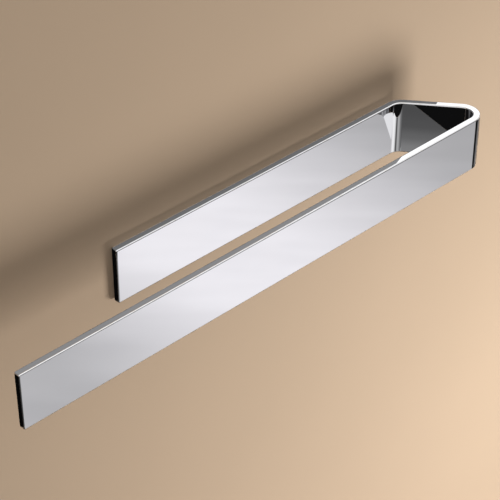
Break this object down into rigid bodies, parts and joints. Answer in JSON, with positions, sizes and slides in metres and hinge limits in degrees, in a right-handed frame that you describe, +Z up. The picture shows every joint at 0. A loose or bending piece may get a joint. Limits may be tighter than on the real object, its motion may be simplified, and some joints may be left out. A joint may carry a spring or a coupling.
{
  "type": "adhesive towel bar",
  "caption": "Chromed flat towel bar bent back on itself with a slanted closed end; its rear leg slips over plates bonded to the wall and is clamped there by grub screws.",
  "frame": {"origin": "on the wall, midway between the two adhesive strips and at half the height of the bar", "axes": "+X along the bar to its closed end, +Y into the wall, +Z up"},
  "size_m": [0.4, 0.058, 0.04],
  "materials": {
    "polished_chrome": "mirror polished",
    "brushed_stainless": "brushed",
    "adhesive_foam": "matt foam",
    "screw_steel": "satin"
  },
  "bodies": {
    "wall_fixing": {"wall_plate_left": "brushed_stainless", "wall_plate_right": "brushed_stainless", "adhesive_strip_left": "adhesive_foam", "adhesive_strip_right": "adhesive_foam"},
    "bar": {"towel_bar": "polished_chrome"},
    "screw_1": {"grub_screw_1": "screw_steel"},
    "screw_2": {"grub_screw_2": "screw_steel"},
    "screw_3": {"grub_screw_3": "screw_steel"},
    "screw_4": {"grub_screw_4": "screw_steel"}
  },
  "joints": [
    {"name": "bar_pull_off", "type": "slide", "parent": "wall_fixing", "child": "bar", "axis": [0, -1, 0], "range_m": [0, 0.03]},
    {"name": "screw_1_back_out", "type": "slide", "parent": "bar", "child": "screw_1", "axis": [0, 0, -1], "range_m": [0, 0.0025]},
    {"name": "screw_2_back_out", "type": "slide", "parent": "bar", "child": "screw_2", "axis": [0, 0, -1], "range_m": [0, 0.0025]},
    {"name": "screw_3_back_out", "type": "slide", "parent": "bar", "child": "screw_3", "axis": [0, 0, -1], "range_m": [0, 0.0025]},
    {"name": "screw_4_back_out", "type": "slide", "parent": "bar", "child": "screw_4", "axis": [0, 0, -1], "range_m": [0, 0.0025]}
  ]
}
